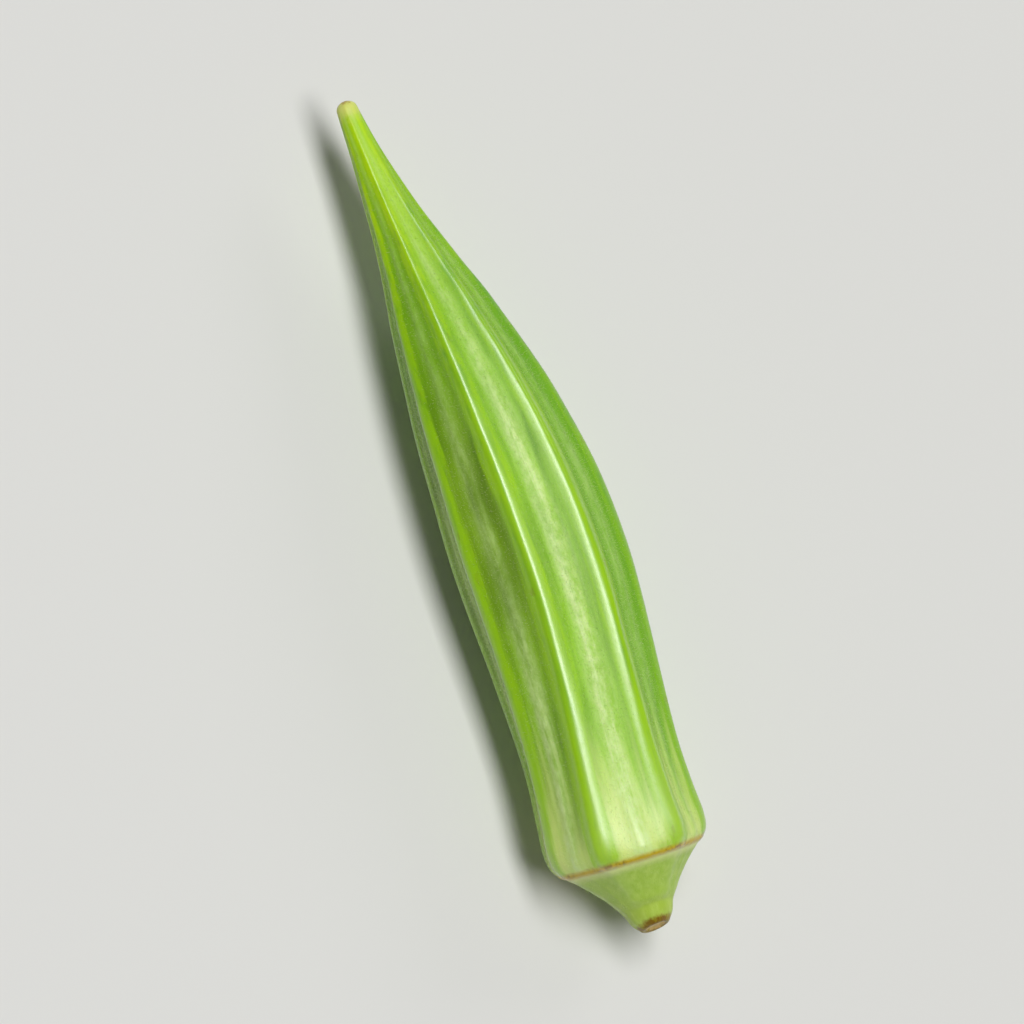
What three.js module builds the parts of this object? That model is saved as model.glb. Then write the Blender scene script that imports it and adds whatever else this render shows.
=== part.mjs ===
// A fresh okra pod, as picked, lying on its side. Millimetres, +Z up.
//
// The pod lies along X, its beak towards -X and its cut stem towards +X, and it bows towards +Y.
// The origin is the middle of the underside of its bounding box, so it lies on the plane z = 0.
// It grew as one piece, so it is one mesh: a turned blank along a straight axis, whose skin is drawn in
// between the ridges, and which is then bowed, laid down and pressed flat where it carries its weight.

import * as THREE from 'three';
import { mergeVertices } from 'three/addons/utils/BufferGeometryUtils.js';

// Stations are distances from the tip of the beak along the pod's axis.
const POD_LENGTH = 90;
const SHOULDER_STATION = 79.4;
const RING_STATION = 82.1;
const BOW_HEIGHT = 2.65;
const BOW_SHARPNESS = 1.5;
const STEM_LEAN = 0.45;

// Beak: the tip is a small dome that carries the scar of the style
const TIP_RADIUS = 1.1;
const TIP_LENGTH = 0.9;

// Body: [station, radius over the ridges]
const BODY_OUTLINE = [
  [TIP_LENGTH, TIP_RADIUS],
  [6, 1.66],
  [12, 2.7],
  [18.4, 4.05],
  [24.5, 5.6],
  [33.6, 7.45],
  [42.8, 8.6],
  [52, 8.95],
  [61.2, 8.5],
  [70.5, 8.12],
  [76, 8.3],
  [SHOULDER_STATION, 8.56],
  [81.2, 8.3],
  [RING_STATION, 7.6],
];

// Cap: [distance past the ring, radius], a cone that hollows into the stub of the stem
const CAP_OUTLINE = [
  [0.25, 7.35],
  [1, 6.35],
  [2.4, 4.95],
  [3.8, 3.75],
  [5.4, 2.8],
  [6.8, 2.3],
];

// Cut end of the stem: a rounded rim round a slightly sunk pith
const CUT_RIM_RADIUS = 1.75;
const CUT_FACE_RADIUS = 1.35;
const CUT_RIM_BACK = 0.35;
const PITH_RADIUS = 0.8;
const PITH_DEPTH = 0.25;

// Ridges: their angles from +Z towards +Y halfway along, and how far each leans aside at the ring
const RIDGES = [
  { angle: 24, lean: 4 },
  { angle: 69, lean: 0 },
  { angle: 114, lean: 0 },
  { angle: 158, lean: 0 },
  { angle: 202, lean: 0 },
  { angle: 246, lean: -5 },
  { angle: 289, lean: -11 },
  { angle: 337, lean: -12 },
];
const LEAN_START = 50;

// The skin between two ridges lies below their crests by these shares of the radius
const FACE_DEPTH_TIP = 0.03;
const FACE_DEPTH_BODY = 0.105;
const FACE_DEPTH_RING = 0.055;
const FACE_DEPTH_STEM = 0;
const CREST_ROUNDING = 0.2;
const VEIN_HEIGHT = 0.1;
const VEIN_WIDTH = 0.16;

// Rest: the shoulder comes down on the surface with the belly, and both are pressed flat there
const PITCH_DEG = 0.7;
const PRESSED_DEPTH = 0.25;

// Mesh
const STEPS_BETWEEN_RIDGES = 10;
const CREST_CROWDING = 0.3;
const TIP_STEPS = 3;
const BODY_STEPS = 36;
const CAP_STEPS = 11;

const SKIN = new THREE.MeshStandardMaterial({ color: 0x8fbf3a, roughness: 0.55, metalness: 0 });

/** The pod's outline from the tip to the middle of the cut, as [station, radius] pairs. */
function podOutline() {
  const dome = [];
  for (let i = 0; i < TIP_STEPS; i += 1) {
    const turn = (Math.PI / 2) * (i / TIP_STEPS);
    dome.push([TIP_LENGTH * (1 - Math.cos(turn)), TIP_RADIUS * Math.sin(turn)]);
  }
  const cap = CAP_OUTLINE.map(([past, radius]) => [RING_STATION + past, radius]);
  return [
    ...dome,
    ...smoothOutline(BODY_OUTLINE, BODY_STEPS),
    ...smoothOutline(cap, CAP_STEPS),
    [POD_LENGTH - CUT_RIM_BACK, CUT_RIM_RADIUS],
    [POD_LENGTH, CUT_FACE_RADIUS],
    [POD_LENGTH - PITH_DEPTH, PITH_RADIUS],
    [POD_LENGTH - PITH_DEPTH, 0],
  ];
}

/** A smooth line through [station, radius] pairs, crowded towards its bends. */
function smoothOutline(pairs, steps) {
  const line = new THREE.SplineCurve(pairs.map(([station, radius]) => new THREE.Vector2(station, radius)));
  return line.getPoints(steps).map((point) => [point.x, point.y]);
}

/** The bearing on the pod of a place counted in ridges, 0 for the first and 8 for the first again. */
function bearing(place, station) {
  const index = Math.floor(place);
  const share = place - index;
  const crowded = share - (CREST_CROWDING * Math.sin(2 * Math.PI * share)) / (2 * Math.PI);
  const lean = THREE.MathUtils.smoothstep(station, LEAN_START, RING_STATION);
  const from = ridgeBearing(index, lean);
  const to = ridgeBearing(index + 1, lean);
  return THREE.MathUtils.degToRad(from + (to - from) * crowded);
}

/** A ridge's bearing in degrees, with whole turns added for counts past the last ridge. */
function ridgeBearing(count, lean) {
  const ridge = RIDGES[count % RIDGES.length];
  return ridge.angle + ridge.lean * lean + 360 * Math.floor(count / RIDGES.length);
}

/** How deep the faces lie between the ridges at a station, as a share of the radius. */
function faceDepth(station) {
  const { lerp, smoothstep } = THREE.MathUtils;
  const fromTip = lerp(FACE_DEPTH_TIP, FACE_DEPTH_BODY, smoothstep(station, 0, 16));
  const toRing = lerp(fromTip, FACE_DEPTH_RING, smoothstep(station, SHOULDER_STATION - 1, RING_STATION));
  return lerp(toRing, FACE_DEPTH_STEM, smoothstep(station, RING_STATION, POD_LENGTH));
}

/** The drop of the skin at a place between two ridges: 0 on a crest, about 1 in the middle of a face. */
function faceDrop(place) {
  const share = place - Math.floor(place);
  const fromCrest = 1 - Math.abs(2 * share - 1);
  const crestless = Math.hypot(1, CREST_ROUNDING) - CREST_ROUNDING;
  const rounded = (Math.hypot(fromCrest, CREST_ROUNDING) - CREST_ROUNDING) / crestless;
  const vein = VEIN_HEIGHT * Math.exp(-(((1 - fromCrest) / VEIN_WIDTH) ** 2));
  return 1 - (1 - rounded) ** 2 - vein;
}

/** Draws the turned blank's skin in between the ridges, and turns its places into bearings. */
function drawIn(position) {
  const ridgeCount = RIDGES.length;
  for (let i = 0; i < position.count; i += 1) {
    const station = position.getX(i);
    const radius = Math.hypot(position.getY(i), position.getZ(i));
    const turn = Math.atan2(position.getY(i), position.getZ(i)) / (2 * Math.PI);
    const steps = ridgeCount * STEPS_BETWEEN_RIDGES;
    const place = (Math.round((turn + 1) * steps) % steps) / STEPS_BETWEEN_RIDGES;
    const drawn = radius * (1 - faceDepth(station) * faceDrop(place));
    const angle = bearing(place, station);
    position.setXYZ(i, station, drawn * Math.sin(angle), drawn * Math.cos(angle));
  }
}

/** Bends the straight pod along its bowed centre line, each section square to the line. */
function bow(position) {
  for (let i = 0; i < position.count; i += 1) {
    const station = position.getX(i);
    const share = THREE.MathUtils.clamp(station / POD_LENGTH, 0, 1);
    const swell = Math.sin(Math.PI * share);
    const stem = THREE.MathUtils.smoothstep(station, RING_STATION - 4, POD_LENGTH);
    const offset = BOW_HEIGHT * swell ** BOW_SHARPNESS + STEM_LEAN * stem;
    const growth = BOW_SHARPNESS * swell ** (BOW_SHARPNESS - 1) * Math.cos(Math.PI * share);
    const slope = Math.atan((BOW_HEIGHT * growth * Math.PI) / POD_LENGTH);
    const across = position.getY(i);
    position.setX(i, station - across * Math.sin(slope));
    position.setY(i, offset + across * Math.cos(slope));
  }
}

/** Lays the pod down, presses it flat where it rests and centres its box over the origin. */
function layDown(geometry) {
  geometry.rotateY(THREE.MathUtils.degToRad(PITCH_DEG));
  geometry.computeBoundingBox();
  geometry.translate(0, 0, -geometry.boundingBox.min.z - PRESSED_DEPTH);
  const position = geometry.getAttribute('position');
  for (let i = 0; i < position.count; i += 1) {
    position.setZ(i, Math.max(position.getZ(i), 0));
  }
  geometry.computeBoundingBox();
  const middle = geometry.boundingBox.getCenter(new THREE.Vector3());
  geometry.translate(-middle.x, -middle.y, 0);
}

/** The whole pod as one closed skin. */
function podGeometry() {
  const outline = podOutline().map(([station, radius]) => new THREE.Vector2(radius, station));
  const blank = new THREE.LatheGeometry(outline, RIDGES.length * STEPS_BETWEEN_RIDGES);
  blank.rotateZ(-Math.PI / 2);
  blank.deleteAttribute('normal');
  blank.deleteAttribute('uv');
  const geometry = mergeVertices(blank);
  const position = geometry.getAttribute('position');
  drawIn(position);
  bow(position);
  layDown(geometry);
  geometry.computeVertexNormals();
  return geometry;
}

const pod = new THREE.Mesh(podGeometry(), SKIN);
pod.name = 'pod';

const okra = new THREE.Group();
okra.add(pod);

export default okra;
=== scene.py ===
"""A fresh okra pod lying on a pale floor: its fine skin, its hairs, and the studio round it.

Everything is in metres. The pod lies along X, its beak towards -X and its cut stem towards +X.
"""

import logging
import math
from dataclasses import dataclass, field
from enum import Enum

import bmesh
import bpy
from mathutils import Matrix, Vector, noise
from mathutils.geometry import interpolate_bezier


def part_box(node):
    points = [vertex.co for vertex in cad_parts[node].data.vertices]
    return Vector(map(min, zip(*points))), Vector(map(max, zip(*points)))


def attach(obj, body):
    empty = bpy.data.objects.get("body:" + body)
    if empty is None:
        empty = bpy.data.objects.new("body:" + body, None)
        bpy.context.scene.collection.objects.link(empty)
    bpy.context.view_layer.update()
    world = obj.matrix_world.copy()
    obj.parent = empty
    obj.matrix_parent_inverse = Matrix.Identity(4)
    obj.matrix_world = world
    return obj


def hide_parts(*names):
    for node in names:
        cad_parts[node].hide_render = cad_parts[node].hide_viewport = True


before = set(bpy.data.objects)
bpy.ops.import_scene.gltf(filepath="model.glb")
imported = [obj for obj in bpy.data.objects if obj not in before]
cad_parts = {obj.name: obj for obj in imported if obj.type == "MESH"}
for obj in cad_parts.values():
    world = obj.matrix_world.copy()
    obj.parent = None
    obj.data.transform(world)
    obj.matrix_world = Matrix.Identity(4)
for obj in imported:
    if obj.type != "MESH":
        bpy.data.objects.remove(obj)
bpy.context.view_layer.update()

MM = 0.001
BAKE_LAYER = "OFBake"

# Stations are distances from the tip of the beak along the pod's axis.
POD_LENGTH = 90 * MM
SHOULDER_STATION = 79.4 * MM
RING_STATION = 82.1 * MM

# Points of the turned blank that are this close are one, and those this close to the axis are its poles.
MERGE_DISTANCE = 0.0005 * MM
POLE_RADIUS = 0.001 * MM

# A Mix node has sockets for each kind of data. These are the numbers of those for colours.
MIX_SHARE, MIX_LOW, MIX_HIGH, MIX_RESULT = 0, 6, 7, 2

log = logging.getLogger("okra")


class Mark(Enum):
    """Values stored on the skin for its material and its hairs to read."""

    ALONG = "along"
    CREST = "crest"
    COVER = "hair_cover"
    SKIN = "skin_length"
    STRAIGHT = "straight"
    TOWARD_TIP = "toward_tip"


def srgb(red: int, green: int, blue: int) -> tuple[float, float, float, float]:
    """Turns a colour as seen on a screen into the linear one that shaders use.

    Args:
        red: Red, 0 to 255.
        green: Green, 0 to 255.
        blue: Blue, 0 to 255.

    Returns:
        The linear colour, opaque.
    """
    channels = [value / 255 for value in (red, green, blue)]
    linear = [c / 12.92 if c <= 0.04045 else ((c + 0.055) / 1.055) ** 2.4 for c in channels]
    return (*linear, 1.0)


def smooth(value: float, low: float, high: float) -> float:
    """Eases from 0 at low to 1 at high.

    Args:
        value: What is eased.
        low: Where the rise starts.
        high: Where it ends.

    Returns:
        The share of the rise.
    """
    share = min(max((value - low) / (high - low), 0.0), 1.0)
    return share * share * (3 - 2 * share)


def bell(value: float, width: float) -> float:
    """A bump of height 1 at 0 that falls to about a third at the width."""
    return math.exp(-((value / width) ** 2))


@dataclass
class Signal:
    """A number or colour that flows out of a node; Python's operators add Math nodes."""

    bench: "Bench"
    socket: bpy.types.NodeSocket

    def math(self, operation: str, first: "Signal | float", second: "Signal | float") -> "Signal":
        """Adds one Math node.

        Args:
            operation: The node's operation.
            first: Its first input.
            second: Its second input.

        Returns:
            What flows out of it.
        """
        return self.bench.signal(0, "ShaderNodeMath", {"operation": operation}, {0: first, 1: second})

    def __add__(self, other: "Signal | float") -> "Signal":
        """Signal + other."""
        return self.math("ADD", self, other)

    def __radd__(self, other: float) -> "Signal":
        """Other + signal."""
        return self.math("ADD", other, self)

    def __sub__(self, other: "Signal | float") -> "Signal":
        """Signal - other."""
        return self.math("SUBTRACT", self, other)

    def __rsub__(self, other: float) -> "Signal":
        """Other - signal."""
        return self.math("SUBTRACT", other, self)

    def __mul__(self, other: "Signal | float") -> "Signal":
        """Signal times other."""
        return self.math("MULTIPLY", self, other)

    def __rmul__(self, other: float) -> "Signal":
        """Other times signal."""
        return self.math("MULTIPLY", other, self)

    def rise(self, low: float, high: float) -> "Signal":
        """Eases the signal from 0 at low to 1 at high, or down where low is above high.

        Args:
            low: The value that becomes 0.
            high: The value that becomes 1.

        Returns:
            The eased share.
        """
        flipped = low > high
        return self.bench.signal(
            "Result",
            "ShaderNodeMapRange",
            {"interpolation_type": "SMOOTHSTEP"},
            {
                "Value": self,
                "From Min": min(low, high),
                "From Max": max(low, high),
                "To Min": float(flipped),
                "To Max": float(not flipped),
            },
        )

    def stripe(self, middle: float, reach: float) -> "Signal":
        """A soft band of 1 round a value, which fades to 0 at its reach on both sides."""
        return self.rise(middle - reach, middle) * self.rise(middle + reach, middle)


class Bench:
    """Lays out the nodes of one tree."""

    def __init__(self, tree: bpy.types.NodeTree) -> None:
        """Clears the tree."""
        self.tree = tree
        self.tree.nodes.clear()

    def node(self, kind: str, settings: dict | None = None, inputs: dict | None = None) -> bpy.types.Node:
        """Adds a node.

        Args:
            kind: The node's type name.
            settings: Its own settings, set first.
            inputs: Values or signals for its sockets, by name or number.

        Returns:
            The node.
        """
        made = self.tree.nodes.new(kind)
        for name, value in (settings or {}).items():
            setattr(made, name, value)
        for name, value in (inputs or {}).items():
            if isinstance(value, Signal):
                self.tree.links.new(value.socket, made.inputs[name])
            else:
                made.inputs[name].default_value = value
        return made

    def signal(
        self, output: str | int, kind: str, settings: dict | None = None, inputs: dict | None = None
    ) -> Signal:
        """Adds a node of which one output is used.

        Args:
            output: That output, by name or number.
            kind: The node's type name.
            settings: Its own settings.
            inputs: Values or signals for its sockets, by name or number.

        Returns:
            What flows out of it.
        """
        return Signal(self, self.node(kind, settings, inputs).outputs[output])


class Palette(Bench):
    """Lays out the nodes of one material."""

    def __init__(self, name: str) -> None:
        """Starts an empty material of that name."""
        self.material = bpy.data.materials.new(name)
        self.material.use_nodes = True
        super().__init__(self.material.node_tree)

    def mark(self, mark: Mark) -> Signal:
        """A value stored on the skin."""
        output = "Vector" if mark is Mark.STRAIGHT else "Fac"
        return self.signal(output, "ShaderNodeAttribute", {"attribute_name": mark.value})

    def stretched(self, vector: Signal, along: float, across: float) -> Signal:
        """Scales a vector to so many cells a metre along the pod and across it."""
        cells = (along, across, across)
        return self.signal(0, "ShaderNodeVectorMath", {"operation": "MULTIPLY"}, {0: vector, 1: cells})

    def noise(self, vector: Signal, detail: float, roughness: float = 0.5) -> Signal:
        """Soft noise from 0 to 1, one cell to each unit of the vector."""
        inputs = {"Vector": vector, "Scale": 1.0, "Detail": detail, "Roughness": roughness}
        return self.signal("Fac", "ShaderNodeTexNoise", {"noise_dimensions": "3D"}, inputs)

    def cells(self, vector: Signal) -> Signal:
        """The distance to the middle of the nearest of scattered cells, one to each unit of the vector."""
        return self.signal(
            "Distance", "ShaderNodeTexVoronoi", {"feature": "F1"}, {"Vector": vector, "Scale": 1.0}
        )

    def blend(self, share: Signal, low: "Signal | tuple", high: "Signal | tuple") -> Signal:
        """Mixes two colours.

        Args:
            share: How much of the second shows.
            low: The first colour.
            high: The second colour.

        Returns:
            The mixed colour.
        """
        inputs = {MIX_SHARE: share, MIX_LOW: low, MIX_HIGH: high}
        return self.signal(MIX_RESULT, "ShaderNodeMix", {"data_type": "RGBA"}, inputs)

    def finish(self, values: dict) -> bpy.types.Material:
        """Ends the material in one Principled shader.

        Args:
            values: The shader's inputs, by name.

        Returns:
            The material.
        """
        shader = self.signal("BSDF", "ShaderNodeBsdfPrincipled", None, values)
        self.node("ShaderNodeOutputMaterial", None, {"Surface": shader})
        return self.material


@dataclass
class Grain:
    """Everything that varies over the skin, for its colour and relief to share."""

    along: Signal
    beak: Signal
    crest: Signal
    streaks: Signal
    bands: Signal
    mottle: Signal
    dots: Signal
    cloud: Signal
    scuffs: Signal
    aside: Signal
    past_ring: Signal
    from_cut: Signal

    @classmethod
    def on(cls, palette: Palette, pod: "OkraPod") -> "Grain":
        """Lays out the grain's nodes.

        Args:
            palette: Where the nodes go.
            pod: The pod, for how long its skin is up to the ring and the cut.

        Returns:
            The grain. How far a place lies aside of the axis, past the ring and from the middle of the
            cut is in millimetres.
        """
        along = palette.mark(Mark.ALONG)
        straight = palette.mark(Mark.STRAIGHT)
        skin = palette.mark(Mark.SKIN) * (1 / MM)
        ring, cut = (pod.skin_to(station) / MM for station in (RING_STATION, POD_LENGTH))
        return cls(
            along=along,
            beak=along.rise(0.4, 0.06),
            crest=palette.mark(Mark.CREST),
            streaks=palette.noise(palette.stretched(straight, 70, 1500), 3.0),
            bands=palette.noise(palette.stretched(straight, 22, 620), 1.0),
            mottle=palette.noise(palette.stretched(straight, 1000, 1700), 4.0, 0.6),
            dots=palette.cells(palette.stretched(straight, 2600, 3400)).rise(0.45, 0.15),
            cloud=palette.noise(palette.stretched(straight, 90, 260), 2.0),
            scuffs=palette.noise(palette.stretched(straight, 330, 900), 2.0),
            aside=palette.signal("Y", "ShaderNodeSeparateXYZ", None, {0: straight}) * (1 / MM),
            past_ring=skin - ring,
            from_cut=cut - skin,
        )


@dataclass
class Zones:
    """Where each tone of the ridged body lies, from 0 to 1, the painted shade on its sides among them."""

    ridge: Signal
    flank: Signal
    vein: Signal
    neck: Signal
    dull_side: Signal
    lush_side: Signal
    blotches: Signal
    shoulder: Signal

    @classmethod
    def of(cls, grain: Grain) -> "Zones":
        """Works the zones out.

        Args:
            grain: What varies over the skin.

        Returns:
            The zones. The painted shade darkens the side towards -Y to olive, and darkens the side towards
            +Y and the beak's sides to deep green.
        """
        beak = grain.beak
        edge = grain.crest + (grain.streaks - 0.5) * 0.4 - beak * 0.12
        neck = grain.along.stripe(0.28, 0.2)
        # Painted shade: the faces towards -Y turn olive, less so towards the ring and not at all on the
        # beak.
        dull_side = grain.aside.rise(-2.0, -5.0) * (1 - beak) * (1 - grain.along.rise(0.5, 0.8) * 0.8)
        # Painted shade: the beak's two sides turn deep green, and its top stays lime.
        beak_painted_shade = (grain.aside.rise(-0.6, -2.4) + grain.aside.rise(0.4, 1.8)) * beak * 0.7
        shoulder = grain.along + (grain.bands - 0.5) * 0.26 + (grain.streaks - 0.5) * 0.16
        return cls(
            ridge=edge.rise(0.52, 0.34),
            flank=edge.stripe(0.56, 0.16),
            vein=(grain.crest + (grain.streaks - 0.5) * 0.08).rise(0.62, 0.98),
            neck=neck,
            dull_side=dull_side,
            # Painted shade towards +Y and on the beak's sides, plus a deeper green tone round the neck.
            lush_side=grain.aside.rise(2.5, 5.5) * (1 - beak) + beak_painted_shade + neck * 0.45,
            # Dark blotches of random tone, laid only over the painted shade towards -Y.
            blotches=grain.cloud.rise(0.42, 0.62) * dull_side * 0.35,
            shoulder=shoulder.rise(0.72, 0.96),
        )


@dataclass(frozen=True)
class SkinFinish:
    """The pod's fresh skin: lime ridges, frosted faces, a pale shoulder and cap, a brown ring and cut. Its
    sides carry painted shade, its frost is partly a painted highlight, and a painted highlight runs along
    the lip below the ring.
    """

    ridge: tuple = srgb(156, 208, 2)
    ridge_tip: tuple = srgb(180, 222, 0)
    face: tuple = srgb(150, 208, 12)
    face_tip: tuple = srgb(168, 216, 8)
    # A deep green: partly tone, and partly painted shade on the side towards +Y and on the beak's sides.
    lush: tuple = srgb(108, 172, 0)
    # Painted shade: the olive that darkens the faces towards -Y.
    painted_shade_olive: tuple = srgb(118, 150, 8)
    # Darker blotches of random tone, which show only within the painted shade towards -Y.
    blotch: tuple = srgb(78, 112, 12)
    # Pale frost: partly real bloom, and partly a painted highlight on the veins of the lit faces.
    frost: tuple = srgb(214, 240, 156)
    shade: tuple = srgb(100, 154, 6)
    shoulder: tuple = srgb(218, 238, 130)
    cap: tuple = srgb(164, 200, 72)
    # Painted highlight: the pale band along the lip just below the ring.
    lip_painted_highlight: tuple = srgb(238, 242, 170)
    stub: tuple = srgb(172, 200, 70)
    ring: tuple = srgb(200, 172, 10)
    ring_dark: tuple = srgb(142, 114, 0)
    cut_rim: tuple = srgb(128, 96, 0)
    cut_olive: tuple = srgb(160, 150, 14)
    pith: tuple = srgb(214, 178, 104)
    scar: tuple = srgb(228, 226, 128)
    scar_dark: tuple = srgb(176, 132, 40)
    scuff: tuple = srgb(130, 122, 10)

    def material(self, pod: "OkraPod") -> bpy.types.Material:
        """Lays out the skin's nodes.

        Args:
            pod: The pod, for how long its skin is up to the ring and the cut.

        Returns:
            The skin's material.
        """
        palette = Palette("okra_skin")
        grain = Grain.on(palette, pod)
        colour = self.ends_colour(palette, grain, self.body_colour(palette, grain))

        crown = grain.crest.rise(0.5, 0.16)
        on_cap = grain.past_ring.rise(0.0, 0.4)
        rough = 0.52 - crown * 0.18 - on_cap * (1 - crown) * 0.06 + (grain.mottle - 0.5) * 0.24
        relief = grain.streaks * 0.35 + grain.mottle * 0.3 + grain.dots * (1 - crown) * 0.35
        bump = {"Strength": 0.5, "Distance": 0.09 * MM, "Height": relief}
        broken = grain.streaks.rise(0.35, 0.6) * 0.3 + grain.mottle.rise(0.3, 0.65) * 0.4 + 0.55
        waxy = crown * (0.85 - grain.beak * 0.6) * broken + grain.along.rise(0.8, 0.92) * 0.4
        return palette.finish(
            {
                "Base Color": colour,
                "Roughness": rough,
                "Normal": palette.signal("Normal", "ShaderNodeBump", None, bump),
                "Coat Weight": waxy * (1 - on_cap * 0.7) + 0.04,
                "Coat Roughness": 0.27,
                "Coat IOR": 1.68,
                "Subsurface Weight": 0.1,
                "Subsurface Radius": (0.6, 1.0, 0.15),
                "Subsurface Scale": 0.8 * MM,
                "Specular IOR Level": 0.28,
                "Sheen Weight": 0.04,
                "Sheen Roughness": 0.4,
                "Sheen Tint": srgb(226, 240, 190),
            }
        )

    def body_colour(self, palette: Palette, grain: Grain) -> Signal:
        """The ridged body's colour, with painted shade on its sides and a frost that is partly a painted
        highlight.

        Args:
            palette: Where the nodes go.
            grain: What varies over the skin.

        Returns:
            The colour.
        """
        zones = Zones.of(grain)
        face = self.face_colour(palette, grain, zones)
        plain = palette.blend(zones.ridge, face, self.ridge_colour(palette, grain, zones))
        scuffed = grain.scuffs.rise(0.66, 0.74) * grain.crest.rise(0.5, 0.1) * 0.4
        plain = palette.blend(scuffed, plain, self.scuff)
        pale = palette.blend(zones.shoulder * (1 - zones.ridge * 0.78), plain, self.shoulder)
        # Partly painted highlight: the pale frost, strongest on the veins of the lit faces.
        return palette.blend(self.frost_and_painted_highlight(grain, zones), pale, self.frost)

    def face_colour(self, palette: Palette, grain: Grain, zones: Zones) -> Signal:
        """The colour of the faces between the ridges, with painted shade darkening their sides.

        Args:
            palette: Where the nodes go.
            grain: What varies over the skin.
            zones: Where each tone lies.

        Returns:
            The colour, before it is frosted.
        """
        toned = grain.cloud.rise(0.35, 0.7) * 0.3 + zones.flank * 0.3 + grain.bands.rise(0.5, 0.66) * 0.35
        face = palette.blend(toned, self.face, self.shade)
        face = palette.blend(grain.beak, face, self.face_tip)
        # Painted shade: olive on the faces towards -Y.
        face = palette.blend(zones.dull_side * 0.54, face, self.painted_shade_olive)
        # Blotches of random tone, darker still, only within the painted shade towards -Y.
        face = palette.blend(zones.blotches, face, self.blotch)
        # Painted shade: deep green towards +Y and on the beak's sides, plus a deeper tone round the neck.
        return palette.blend(zones.lush_side * 0.75, face, self.lush)

    def ridge_colour(self, palette: Palette, grain: Grain, zones: Zones) -> Signal:
        """The colour of the ridges, deepened with painted shade on the side towards +Y.

        Args:
            palette: Where the nodes go.
            grain: What varies over the skin.
            zones: Where each tone lies.

        Returns:
            The colour.
        """
        beak = grain.beak
        deeper_tone_and_shade = grain.streaks.rise(0.42, 0.7) * 0.4 + grain.mottle.rise(0.5, 0.8) * 0.2 + zones.neck * 0.3
        # Painted shade: the ridges towards +Y are deepened to dark green, on the beak and on the body.
        deeper_tone_and_shade = deeper_tone_and_shade + grain.aside.rise(0.4, 1.4) * beak * 0.5
        deeper_tone_and_shade = deeper_tone_and_shade + grain.aside.rise(3.4, 5.0) * (1 - beak) * 0.5
        lime = palette.blend(beak, self.ridge, self.ridge_tip)
        return palette.blend(deeper_tone_and_shade, lime, self.lush)

    def frost_and_painted_highlight(self, grain: Grain, zones: Zones) -> Signal:
        """How much of the frost shows: most on the veins, hardly any on the ridges and the beak. It is
        partly real pale bloom and partly a painted highlight, kept to the lit top faces and held back where
        shade is painted.

        Args:
            grain: What varies over the skin.
            zones: Where each tone lies.

        Returns:
            The share of it.
        """
        vein = zones.vein
        speckled = grain.mottle.rise(0.25, 0.75) * (0.09 + vein * 0.53) + grain.dots * 0.08 + vein * 0.23
        streaked = speckled + grain.streaks.rise(0.42, 0.62) * (0.05 + vein * 0.26)
        # The frost is held back where shade is painted, so it shows as a painted highlight on the lit top
        # faces.
        held_back_in_painted_shade = 1 - zones.dull_side * 0.5 - zones.blotches * 0.8 - zones.lush_side * 0.68
        return streaked * held_back_in_painted_shade * (1 - zones.ridge * 0.92) * (1 - grain.beak * 0.8)

    def ends_colour(self, palette: Palette, grain: Grain, body: Signal) -> Signal:
        """Adds the ring, the cap, the cut stem and the scar on the beak, and a painted highlight along the
        lip below the ring.

        Args:
            palette: Where the nodes go.
            grain: What varies over the skin.
            body: The body's colour.

        Returns:
            The whole skin's colour.
        """
        rough_edge = (grain.mottle - 0.5) * 0.8 + (grain.streaks - 0.5) * 0.3
        past_ring = grain.past_ring + rough_edge * 0.5
        cap = palette.blend(grain.from_cut.rise(7.5, 2.0), self.cap, self.stub)
        cap = palette.blend((grain.streaks - 0.3).rise(0.0, 0.5) * 0.3, cap, self.shoulder)
        # Painted highlight: a pale band along the lip just below the ring.
        cap = palette.blend(past_ring.rise(2.0, 0.3) * 0.7, cap, self.lip_painted_highlight)
        colour = palette.blend(past_ring.rise(-0.1, 0.1), body, cap)
        brown = palette.blend((grain.mottle - grain.crest * 0.25).rise(0.3, 0.6), self.ring, self.ring_dark)
        colour = palette.blend(past_ring.stripe(-0.03, 0.78), colour, brown)
        from_cut = grain.from_cut + rough_edge
        rim = palette.blend(grain.mottle.rise(0.4, 0.7), self.cut_rim, self.cut_olive)
        colour = palette.blend(from_cut.rise(2.5, 1.9), colour, rim)
        pith = palette.blend(grain.mottle.rise(0.35, 0.7) * 0.5, self.pith, self.cut_olive)
        colour = palette.blend(from_cut.rise(1.25, 0.95), colour, pith)
        scar = grain.along + (grain.mottle - 0.5) * 0.02
        colour = palette.blend(scar.rise(0.03, 0.004) * 0.8, colour, self.scar)
        return palette.blend(scar.rise(0.004, 0.0) * 0.8, colour, self.scar_dark)


@dataclass(frozen=True)
class HairFinish:
    """The fine hairs: greenish at the root, nearly white at the tip."""

    root: tuple = srgb(180, 212, 76)
    tip: tuple = srgb(220, 236, 150)

    def material(self) -> bpy.types.Material:
        """Lays out the hairs' nodes."""
        palette = Palette("okra_hair")
        colour = palette.blend(palette.mark(Mark.TOWARD_TIP), self.root, self.tip)
        return palette.finish(
            {
                "Base Color": colour,
                "Roughness": 0.5,
                "Subsurface Weight": 0.8,
                "Subsurface Radius": (1.0, 1.0, 0.8),
                "Subsurface Scale": 0.2 * MM,
            }
        )


@dataclass(frozen=True)
class FloorFinish:
    """A plain pale surface with a trace of tone in it."""

    pale: tuple = srgb(220, 220, 216)
    paler: tuple = srgb(225, 225, 222)

    def material(self) -> bpy.types.Material:
        """Lays out the floor's nodes."""
        palette = Palette("studio_floor")
        tone = palette.noise(palette.signal("Object", "ShaderNodeTexCoord"), 2.0)
        colour = palette.blend(tone.rise(0.3, 0.7), self.pale, self.paler)
        return palette.finish({"Base Color": colour, "Roughness": 0.7})


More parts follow.
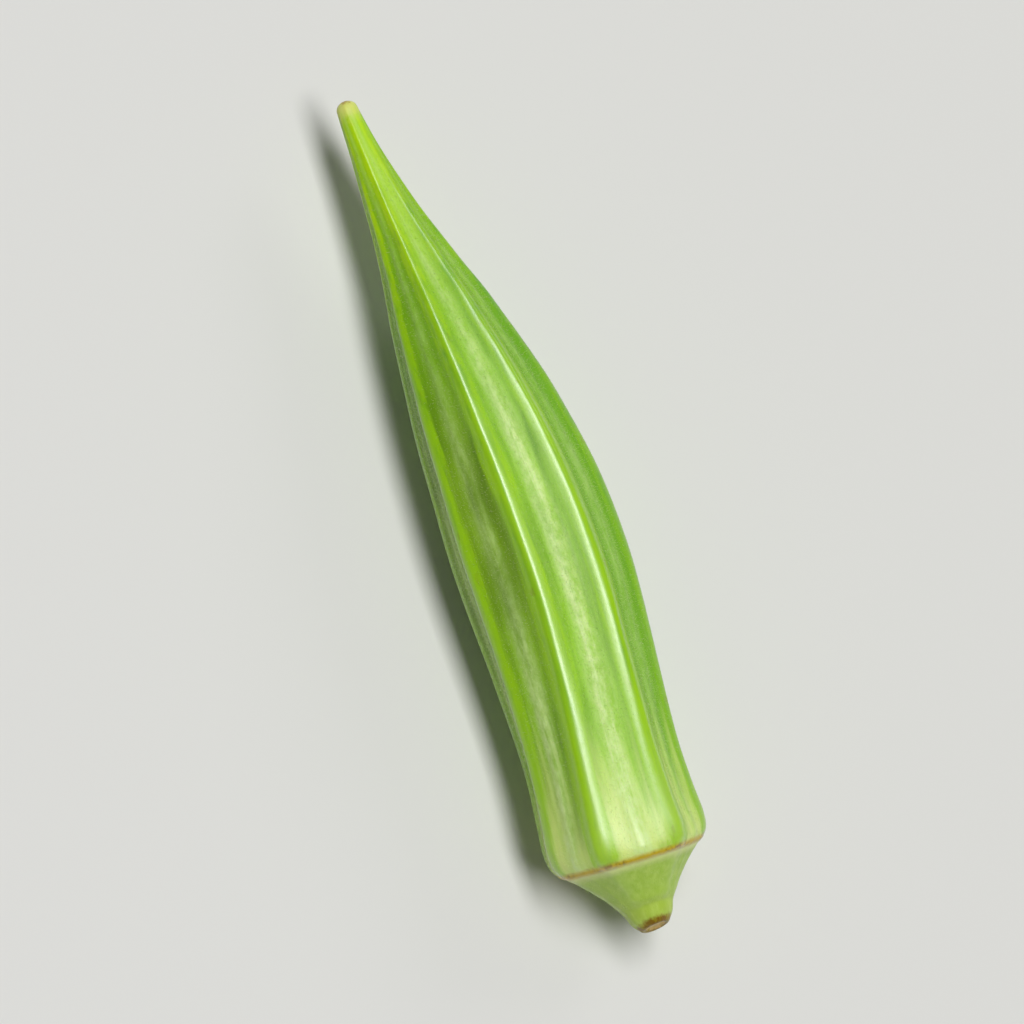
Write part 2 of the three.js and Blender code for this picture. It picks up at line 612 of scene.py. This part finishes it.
@dataclass(frozen=True)
class Ridge:
    """One ridge: its bearing from +Z towards +Y, and how far it leans aside at the ring, in degrees."""

    bearing: float
    lean: float


def outline_through(points: list[tuple[float, float]], step: float) -> list[tuple[float, float]]:
    """Draws a smooth line through points, which passes each one in the direction between its neighbours.

    Args:
        points: Station and radius of each point in millimetres, in order.
        step: About how far apart the line's own points lie.

    Returns:
        Station and radius in metres of each point of the line, the given ones among them.
    """
    knots = [Vector(point) * MM for point in points]
    padded = [knots[0], *knots, knots[-1]]
    line = [knots[0]]
    for before, start, end, after in zip(padded, padded[1:], padded[2:], padded[3:]):
        steps = max(2, round((end - start).length / step))
        leave = start + (end - before) / 6
        arrive = end - (after - start) / 6
        line += interpolate_bezier(start, leave, arrive, end, steps + 1)[1:]
    return [(point[0], point[1]) for point in line]


def face_rank(face: bmesh.types.BMFace, count: int) -> int:
    """A number that no other face has, to put faces in a fixed order.

    Args:
        face: The face, its vertices numbered.
        count: How many vertices the mesh has.

    Returns:
        The number, made of the three lowest of its vertices.
    """
    first, second, third = sorted(vert.index for vert in face.verts)[:3]
    return (first * count + second) * count + third


@dataclass(frozen=True)
class Relief:
    """The skin's fine relief: gentle swells and fibres, a vein along each face, and the ring."""

    cell_length: float = 9 * MM
    fibre_width: float = 0.9 * MM
    swell_height: float = 0.1 * MM
    fibre_height: float = 0.035 * MM
    vein_height: float = 0.05 * MM
    vein_width: float = 0.09
    ring_height: float = 0.1 * MM
    ring_width: float = 0.25 * MM
    groove_depth: float = 0.08 * MM
    groove_width: float = 0.3 * MM
    groove_past_ring: float = 0.65 * MM
    starts: tuple[float, float] = (2 * MM, 20 * MM)
    ends: tuple[float, float] = (RING_STATION - MM, POD_LENGTH)
    least_radius: float = 0.3 * MM
    last_station: float = POD_LENGTH - MM

    def covers(self, station: float, radius: float) -> bool:
        """Whether a place has relief. The middle of the tip and the whole cut end have none."""
        return radius > self.least_radius and station < self.last_station

    def height(self, past_ring: float, from_crest: float, straight: Vector) -> float:
        """How far the skin stands out at a place.

        Args:
            past_ring: Distance along the skin past the ring, less than 0 on the body.
            from_crest: 0 on a ridge, 1 in the middle of a face.
            straight: The point on the pod before it is bowed.

        Returns:
            The height.
        """
        station = straight.x
        swell = noise.noise(straight / self.cell_length) * self.swell_height
        drawn_out = Vector(
            (station / self.cell_length, straight.y / self.fibre_width, straight.z / self.fibre_width)
        )
        vein = self.vein_height * bell(1 - from_crest, self.vein_width)
        fibres = noise.noise(drawn_out) * self.fibre_height + vein
        body = smooth(station, *self.starts) * (1 - smooth(station, *self.ends))
        ring = self.ring_height * bell(past_ring, self.ring_width)
        ring -= self.groove_depth * bell(past_ring - self.groove_past_ring, self.groove_width)
        return (swell + fibres) * body + ring


@dataclass(frozen=True)
class HairCover:
    """How thickly hairs stand on the skin. It eases between the two stations of each pair."""

    starts: tuple[float, float] = (1.5 * MM, 10 * MM)
    thins: tuple[float, float] = (64 * MM, 76 * MM)
    ends: tuple[float, float] = (80.5 * MM, 82 * MM)
    thinned_by: float = 0.5
    on_cap: float = 0.12
    cap_starts: tuple[float, float] = (RING_STATION, 84 * MM)
    cap_ends: tuple[float, float] = (87 * MM, 89 * MM)
    on_ridges: float = 0.3
    ridge_reach: tuple[float, float] = (0.1, 0.6)

    def at(self, station: float, from_crest: float) -> float:
        """The cover at a place, from 0 to 1.

        Args:
            station: Distance from the beak's tip.
            from_crest: 0 on a ridge, 1 in the middle of a face.

        Returns:
            The cover.
        """
        body = smooth(station, *self.starts) * (1 - smooth(station, *self.ends))
        body *= 1 - self.thinned_by * smooth(station, *self.thins)
        cap = self.on_cap * smooth(station, *self.cap_starts) * (1 - smooth(station, *self.cap_ends))
        return body * (self.on_ridges + (1 - self.on_ridges) * smooth(from_crest, *self.ridge_reach)) + cap


@dataclass
class OkraPod:
    """The pod, grown as one piece: beak, ridged body, ring, cap and cut stem."""

    bow_height: float = 2.65 * MM
    bow_sharpness: float = 1.5
    stem_lean: float = 0.45 * MM
    stem_lean_start: float = RING_STATION - 4 * MM
    tip_radius: float = 1.1 * MM
    tip_length: float = 0.9 * MM
    body: tuple[tuple[float, float], ...] = (
        (0.9, 1.1), (6, 1.66), (12, 2.7), (18.4, 4.05), (24.5, 5.6), (33.6, 7.45), (42.8, 8.6),
        (52, 8.95), (61.2, 8.5), (70.5, 8.12), (76, 8.3), (79.4, 8.56), (81.2, 8.3), (82.1, 7.6),
    )
    cap: tuple[tuple[float, float], ...] = (
        (82.35, 7.35), (83.1, 6.35), (84.5, 4.95), (85.9, 3.75), (87.5, 2.8), (88.9, 2.3), (89.65, 1.75),
    )
    cut: tuple[tuple[float, float], ...] = (
        (89.65, 1.75), (89.94, 1.5), (90, 1.25), (89.86, 1.0), (89.75, 0.8), (89.75, 0),
    )
    cut_slant: float = 0.3
    cut_slant_reach: tuple[float, float] = (POD_LENGTH - 4 * MM, POD_LENGTH - MM)
    ridges: tuple[Ridge, ...] = (
        Ridge(24, 4), Ridge(69, 0), Ridge(114, 0), Ridge(158, 0),
        Ridge(202, 0), Ridge(246, -5), Ridge(289, -11), Ridge(337, -12),
    )
    lean_start: float = 50 * MM
    depth_tip: float = 0.03
    depth_body: float = 0.105
    depth_body_start: float = 16 * MM
    depth_ring: float = 0.055
    crest_rounding: float = 0.4
    crest_crowding: float = 0.3
    vein_height: float = 0.1
    vein_width: float = 0.16
    pitch: float = math.radians(0.7)
    pressed: float = 0.25 * MM
    tip_steps: int = 6
    steps_between_ridges: int = 26
    coarse_step: float = 0.36 * MM
    fine_step: float = 0.14 * MM
    relief: Relief = field(default_factory=Relief)
    hair_cover: HairCover = field(default_factory=HairCover)
    finish: SkinFinish = field(default_factory=SkinFinish)

    def outline(self) -> list[tuple[float, float]]:
        """The pod's outline from the beak's tip to the middle of the cut, as station and radius."""
        length, radius = self.tip_length, self.tip_radius
        turns = [math.pi / 2 * index / self.tip_steps for index in range(self.tip_steps)]
        dome = [(length * (1 - math.cos(turn)), radius * math.sin(turn)) for turn in turns]
        body = outline_through(self.body, self.coarse_step)
        ring = outline_through([self.body[-1], self.cap[0]], self.fine_step)
        cap = outline_through(self.cap, self.fine_step)
        cut = outline_through(self.cut, self.fine_step)
        return [*dome, *body, *ring[1:-1], *cap, *cut[1:]]

    def skin_to(self, station: float) -> float:
        """The length of skin from the beak's tip to a station, or to the cut's middle for the last one.

        Args:
            station: A station of the outline.

        Returns:
            The length along the outline.
        """
        length = 0.0
        outline = self.outline()
        for start, end in zip(outline, outline[1:]):
            if start[0] >= station and station < POD_LENGTH:
                break
            length += math.dist(start, end)
        return length

    def bearing(self, place: float, station: float) -> float:
        """The bearing of a place on the pod.

        Args:
            place: Counted in ridges, 0 on the first one.
            station: Distance from the beak's tip.

        Returns:
            The angle from +Z towards +Y.
        """
        index = math.floor(place)
        share = place - index
        crowded = share - self.crest_crowding * math.sin(2 * math.pi * share) / (2 * math.pi)
        lean = smooth(station, self.lean_start, RING_STATION)
        start, end = (self.ridge_bearing(count, lean) for count in (index, index + 1))
        return math.radians(start + (end - start) * crowded)

    def ridge_bearing(self, count: int, lean: float) -> float:
        """A ridge's bearing in degrees, with whole turns added for counts past the last ridge."""
        turns, index = divmod(count, len(self.ridges))
        ridge = self.ridges[index]
        return ridge.bearing + ridge.lean * lean + 360 * turns

    def face_depth(self, station: float) -> float:
        """How deep the faces lie between the ridges at a station, as a share of the radius."""
        rise = smooth(station, 0, self.depth_body_start)
        depth = self.depth_tip + (self.depth_body - self.depth_tip) * rise
        near_ring = smooth(station, SHOULDER_STATION - MM, RING_STATION)
        depth += (self.depth_ring - depth) * near_ring
        return depth * (1 - smooth(station, RING_STATION, POD_LENGTH))

    def face_drop(self, from_crest: float) -> float:
        """The skin's drop below the ridges: 0 on a crest, about 1 in the middle of a face."""
        rounding = self.crest_rounding
        rounded = (math.hypot(from_crest, rounding) - rounding) / (math.hypot(1, rounding) - rounding)
        return 1 - (1 - rounded) ** 2 - self.vein_height * bell(1 - from_crest, self.vein_width)

    def bowed(self, straight: Vector) -> Vector:
        """Where a point of the straight pod lies once the pod is bowed.

        Args:
            straight: The point on the straight pod.

        Returns:
            The point on the bowed one, its section square to the bowed centre line.
        """
        station = straight.x
        share = min(max(station / POD_LENGTH, 0.0), 1.0)
        swell = max(math.sin(math.pi * share), 0.0)
        stem = smooth(station, self.stem_lean_start, POD_LENGTH)
        offset = self.bow_height * swell**self.bow_sharpness + self.stem_lean * stem
        growth = self.bow_sharpness * swell ** (self.bow_sharpness - 1) * math.cos(math.pi * share)
        slope = math.atan(self.bow_height * growth * math.pi / POD_LENGTH)
        across = straight.y
        return Vector(
            (station - across * math.sin(slope), offset + across * math.cos(slope), straight.z)
        )

    def cut_back(self, straight: Vector) -> float:
        """How far a point near the end of the stem lies back, because the cut slants to look upwards."""
        rim_radius = self.cut[1][1] * MM
        near_cut = smooth(straight.x, *self.cut_slant_reach)
        return self.cut_slant * (straight.z + rim_radius) * near_cut

    def turned_blank(self, mesh: bmesh.types.BMesh) -> None:
        """Turns the outline once round X into a closed blank."""
        skin = mesh.verts.layers.float.new(Mark.SKIN.value)
        chain = [mesh.verts.new((station, 0, radius)) for station, radius in self.outline()]
        edges = [mesh.edges.new(pair) for pair in zip(chain, chain[1:])]
        for start, end, edge in zip(chain, chain[1:], edges):
            end[skin] = start[skin] + edge.calc_length()
        bmesh.ops.spin(
            mesh,
            geom=[*chain, *edges],
            cent=(0, 0, 0),
            axis=(1, 0, 0),
            angle=2 * math.pi,
            steps=len(self.ridges) * self.steps_between_ridges,
            use_merge=True,
        )
        bmesh.ops.remove_doubles(mesh, verts=mesh.verts[:], dist=MERGE_DISTANCE)
        bmesh.ops.recalc_face_normals(mesh, faces=mesh.faces[:])
        # The spin leaves its faces in an order of their own in each run, and the hairs follow that order
        mesh.verts.index_update()
        mesh.faces.sort(key=lambda face: face_rank(face, len(mesh.verts)))
        mesh.faces.index_update()

    def place(self, point: Vector) -> float:
        """Where a point of the blank lies round it, counted in ridges."""
        return math.atan2(point.y, point.z) / (2 * math.pi) % 1.0 * len(self.ridges)

    def unwrap(self, mesh: bmesh.types.BMesh) -> None:
        """Lays the blank's skin out flat: across is the place round it, up is the length of skin."""
        layer = mesh.loops.layers.uv.new(BAKE_LAYER)
        skin = mesh.verts.layers.float[Mark.SKIN.value]
        whole = self.skin_to(POD_LENGTH)
        count = len(self.ridges)
        for face in mesh.faces:
            middle = self.place(face.calc_center_median())
            for loop in face.loops:
                at_pole = math.hypot(*loop.vert.co.yz) < POLE_RADIUS
                place = middle if at_pole else self.place(loop.vert.co)
                place += count * round((middle - place) / count)
                loop[layer].uv = (min(max(place / count, 0.0), 1.0), loop.vert[skin] / whole)

    def shape(self, mesh: bmesh.types.BMesh) -> None:
        """Draws the blank in between its ridges, adds the relief and the marks, and bows it."""
        along, crest, cover = (
            mesh.verts.layers.float.new(mark.value) for mark in (Mark.ALONG, Mark.CREST, Mark.COVER)
        )
        straight_layer = mesh.verts.layers.float_vector.new(Mark.STRAIGHT.value)
        skin = mesh.verts.layers.float[Mark.SKIN.value]
        skin_to_ring = self.skin_to(RING_STATION)
        for vert in mesh.verts:
            station = vert.co.x
            radius = math.hypot(vert.co.y, vert.co.z)
            place = self.place(vert.co)
            from_crest = 1 - abs(2 * (place % 1.0) - 1)
            angle = self.bearing(place, station)
            drawn = radius * (1 - self.face_depth(station) * self.face_drop(from_crest))
            straight = Vector((station, drawn * math.sin(angle), drawn * math.cos(angle)))
            if self.relief.covers(station, radius):
                drawn += self.relief.height(vert[skin] - skin_to_ring, from_crest, straight)
                straight = Vector((station, drawn * math.sin(angle), drawn * math.cos(angle)))
            vert[along] = station / POD_LENGTH
            vert[crest] = from_crest
            vert[cover] = self.hair_cover.at(station, from_crest)
            vert[straight_layer] = straight
            straight.x -= self.cut_back(straight)
            vert.co = self.bowed(straight)

    def lay_down(self, mesh: bmesh.types.BMesh) -> None:
        """Lays the pod where its solid lies, and presses it flat where it rests."""
        bmesh.ops.transform(mesh, matrix=Matrix.Rotation(self.pitch, 4, "Y"), verts=mesh.verts[:])
        low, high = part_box("pod")
        xs, ys, zs = ([vert.co[axis] for vert in mesh.verts] for axis in range(3))
        shift = Vector(
            (
                (low[0] + high[0] - min(xs) - max(xs)) / 2,
                (low[1] + high[1] - min(ys) - max(ys)) / 2,
                low[2] - min(zs) - self.pressed,
            )
        )
        bmesh.ops.translate(mesh, verts=mesh.verts[:], vec=shift)
        for vert in mesh.verts:
            vert.co.z = max(vert.co.z, low[2])

    def build(self) -> bpy.types.Object:
        """Makes the finished pod.

        Returns:
            The pod's object, riding on its body in place of its solid.
        """
        mesh = bmesh.new()
        self.turned_blank(mesh)
        self.unwrap(mesh)
        self.shape(mesh)
        self.lay_down(mesh)
        for face in mesh.faces:
            face.smooth = True
        piece = object_from(mesh, "okra_pod", self.finish.material(self))
        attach(piece, "root")
        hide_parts("pod")
        log.info("okra_pod: %d faces", len(piece.data.polygons))
        return piece


def object_from(mesh: bmesh.types.BMesh, name: str, material: bpy.types.Material) -> bpy.types.Object:
    """Turns a finished bmesh into an object of the scene.

    Args:
        mesh: The bmesh, which is freed.
        name: The object's name.
        material: Its one material.

    Returns:
        The object.
    """
    data = bpy.data.meshes.new(name)
    mesh.to_mesh(data)
    mesh.free()
    data.materials.append(material)
    made = bpy.data.objects.new(name, data)
    bpy.context.scene.collection.objects.link(made)
    return made


@dataclass
class Hairs:
    """The short stiff hairs that frost the faces and fringe the outline."""

    count_per_mm2: float = 11.0
    shortest: float = 0.22 * MM
    longest: float = 0.44 * MM
    on_ridges: float = 0.55
    root_radius: float = 0.018 * MM
    sunk_share: float = 0.06
    merge_share: float = 0.0001
    crest_reach: tuple[float, float] = (0.1, 0.6)
    uv_margin: float = 0.1
    tilt: float = math.radians(38)
    seed: int = 7
    finish: HairFinish = field(default_factory=HairFinish)

    def template(self, material: bpy.types.Material) -> bpy.types.Object:
        """One hair of unit length, standing on its root."""
        mesh = bmesh.new()
        toward_tip = mesh.verts.layers.float.new(Mark.TOWARD_TIP.value)
        radius = self.root_radius / self.longest
        bmesh.ops.create_cone(mesh, cap_ends=True, segments=3, radius1=radius, radius2=0, depth=1)
        bmesh.ops.translate(mesh, verts=mesh.verts[:], vec=(0, 0, 0.5 - self.sunk_share))
        bmesh.ops.remove_doubles(mesh, verts=mesh.verts[:], dist=self.merge_share)
        for vert in mesh.verts:
            vert[toward_tip] = 1.0 if vert.co.z > 0.5 else 0.0
        layer = mesh.loops.layers.uv.new(BAKE_LAYER)
        margin = self.uv_margin
        for face in mesh.faces:
            for loop in face.loops:
                across, up = loop.vert.co.xy / radius
                height = margin + margin / 2 * up + (1 - 2 * margin) * loop.vert[toward_tip]
                loop[layer].uv = (0.5 + (0.5 - margin) * across, height)
        return object_from(mesh, "hair_template", material)

    def planting(self, template: bpy.types.Object) -> bpy.types.NodeTree:
        """The node group that plants copies of one hair on a skin."""
        group = bpy.data.node_groups.new("plant_hairs", "GeometryNodeTree")
        for way in ("INPUT", "OUTPUT"):
            group.interface.new_socket("Geometry", in_out=way, socket_type="NodeSocketGeometry")
        bench = Bench(group)
        skin = bench.signal(0, "NodeGroupInput")
        cover, crest = (
            bench.signal("Attribute", "GeometryNodeInputNamedAttribute", None, {"Name": mark.value})
            for mark in (Mark.COVER, Mark.CREST)
        )
        spread = bench.node(
            "GeometryNodeDistributePointsOnFaces",
            {"distribute_method": "RANDOM"},
            {"Mesh": skin, "Density": cover * (self.count_per_mm2 / MM**2), "Seed": self.seed},
        )
        # A random value node has sockets for each kind of data: first those for vectors, then for numbers
        tilt = bench.signal(
            0,
            "FunctionNodeRandomValue",
            {"data_type": "FLOAT_VECTOR"},
            {0: (-self.tilt, -self.tilt, 0), 1: (self.tilt, self.tilt, 2 * math.pi), "Seed": self.seed + 1},
        )
        turned = bench.signal(
            "Rotation",
            "FunctionNodeRotateRotation",
            {"rotation_space": "LOCAL"},
            {"Rotation": Signal(bench, spread.outputs["Rotation"]), "Rotate By": tilt},
        )
        length = bench.signal(
            1,
            "FunctionNodeRandomValue",
            {"data_type": "FLOAT"},
            {2: self.shortest, 3: self.longest, "Seed": self.seed + 2},
        )
        planted = bench.signal(
            "Instances",
            "GeometryNodeInstanceOnPoints",
            None,
            {
                "Points": Signal(bench, spread.outputs["Points"]),
                "Instance": bench.signal("Geometry", "GeometryNodeObjectInfo", None, {"Object": template}),
                "Rotation": turned,
                "Scale": length * (self.on_ridges + crest.rise(*self.crest_reach) * (1 - self.on_ridges)),
            },
        )
        grown = bench.signal("Geometry", "GeometryNodeRealizeInstances", None, {"Geometry": planted})
        bench.node("NodeGroupOutput", None, {0: grown})
        return group

    def build(self, pod: bpy.types.Object) -> bpy.types.Object:
        """Plants the hairs on the pod.

        Args:
            pod: The finished pod.

        Returns:
            The hairs, as one mesh of their own.
        """
        material = self.finish.material()
        template = self.template(material)
        carrier = bpy.data.objects.new("hair_carrier", pod.data)
        bpy.context.scene.collection.objects.link(carrier)
        planter = carrier.modifiers.new("plant", "NODES")
        planter.node_group = self.planting(template)
        grown = carrier.evaluated_get(bpy.context.evaluated_depsgraph_get())
        data = bpy.data.meshes.new_from_object(grown)
        data.name = "okra_hairs"
        for vert in data.vertices:
            vert.co.z = max(vert.co.z, 0.0)
        data.materials.clear()
        data.materials.append(material)
        group = planter.node_group
        for helper in (carrier, template):
            bpy.data.objects.remove(helper)
        bpy.data.node_groups.remove(group)
        piece = bpy.data.objects.new("okra_hairs", data)
        bpy.context.scene.collection.objects.link(piece)
        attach(piece, "root")
        log.info("okra_hairs: %d faces", len(data.polygons))
        return piece


@dataclass(frozen=True)
class SoftLight:
    """A studio light that shines at the pod, longer along the pod than across it."""

    name: str
    towards: tuple[float, float, float]
    distance: float
    length: float
    width: float
    power: float

    def build(self, target: Vector) -> bpy.types.Object:
        """Hangs the light.

        Args:
            target: The point that it shines at.

        Returns:
            The light.
        """
        data = bpy.data.lights.new(self.name, "AREA")
        data.shape = "RECTANGLE"
        data.size, data.size_y = self.length, self.width
        data.energy = self.power
        made = bpy.data.objects.new(self.name, data)
        back = Vector(self.towards).normalized()
        made.location = target + back * self.distance
        side = Vector((1, 0, 0)) - back * back.x
        side.normalize()
        made.rotation_euler = Matrix((side, back.cross(side), back)).transposed().to_euler()
        bpy.context.scene.collection.objects.link(made)
        log.info("%s: %.1f W", self.name, self.power)
        return made


@dataclass
class Studio:
    """The pale floor, the soft lights and the camera that sees the pod from the photograph's side."""

    floor_radius: float = 4.0
    elevation: float = math.radians(75)
    axis_slant: float = math.radians(20.6)
    distance: float = 0.75
    frame_width: float = 0.104
    sensor: float = 36.0
    clipping: tuple[float, float] = (0.01, 20.0)
    target: Vector = field(default_factory=lambda: Vector((0, 0, 8 * MM)))
    room: tuple = srgb(240, 240, 238)
    room_strength: float = 0.13
    wall_strength: float = 0.74
    wall_top: float = 0.12
    lights: tuple[SoftLight, ...] = (
        SoftLight("key_light", (-0.06, 0.13, 1.0), 8.0, 7.1, 1.78, 569.0),
        SoftLight("side_light", (-0.5, 1.0, 0.7), 5.0, 2.0, 1.5, 20.0),
    )
    finish: FloorFinish = field(default_factory=FloorFinish)

    def build_floor(self) -> bpy.types.Object:
        """Lays the floor."""
        mesh = bmesh.new()
        bmesh.ops.create_circle(mesh, cap_ends=True, segments=96, radius=self.floor_radius)
        floor = object_from(mesh, "studio_floor", self.finish.material())
        log.info("studio_floor: %.1f m across", 2 * self.floor_radius)
        return floor

    def build_camera(self) -> bpy.types.Object:
        """Sets the camera square to the pod's length, turned so that the beak points up and left."""
        back = Vector((0, -math.cos(self.elevation), math.sin(self.elevation)))
        along = Vector((1, 0, 0))
        across = back.cross(along)
        right = along * math.sin(self.axis_slant) + across * math.cos(self.axis_slant)
        up = back.cross(right)
        data = bpy.data.cameras.new("portrait_camera")
        data.sensor_width = self.sensor
        data.lens = self.sensor * self.distance / self.frame_width
        data.clip_start, data.clip_end = self.clipping
        camera = bpy.data.objects.new("portrait_camera", data)
        camera.rotation_euler = Matrix((right, up, back)).transposed().to_euler()
        camera.location = self.target + back * self.distance
        bpy.context.scene.collection.objects.link(camera)
        bpy.context.scene.camera = camera
        log.info("portrait_camera: %.0f mm lens", data.lens)
        return camera

    def build_world(self) -> None:
        """Fills the room with even light, between low walls as pale as the floor."""
        world = bpy.data.worlds.new("studio_world")
        world.use_nodes = True
        bench = Bench(world.node_tree)
        direction = bench.signal("Generated", "ShaderNodeTexCoord")
        wall = bench.signal("Z", "ShaderNodeSeparateXYZ", None, {0: direction}).rise(self.wall_top, 0.0)
        strength = self.room_strength + wall * (self.wall_strength - self.room_strength)
        light = bench.signal(0, "ShaderNodeBackground", None, {"Color": self.room, "Strength": strength})
        bench.node("ShaderNodeOutputWorld", None, {"Surface": light})
        bpy.context.scene.world = world
        bpy.context.scene.view_settings.view_transform = "Standard"

    def build(self) -> None:
        """Builds the whole studio."""
        self.build_floor()
        self.build_world()
        for light in self.lights:
            light.build(self.target)
        self.build_camera()


def main() -> None:
    """Builds the pod, its hairs and the studio, in that order."""
    logging.basicConfig(level=logging.INFO, format="%(message)s")
    pod = OkraPod().build()
    Hairs().build(pod)
    Studio().build()


if __name__ == "__main__":
    main()
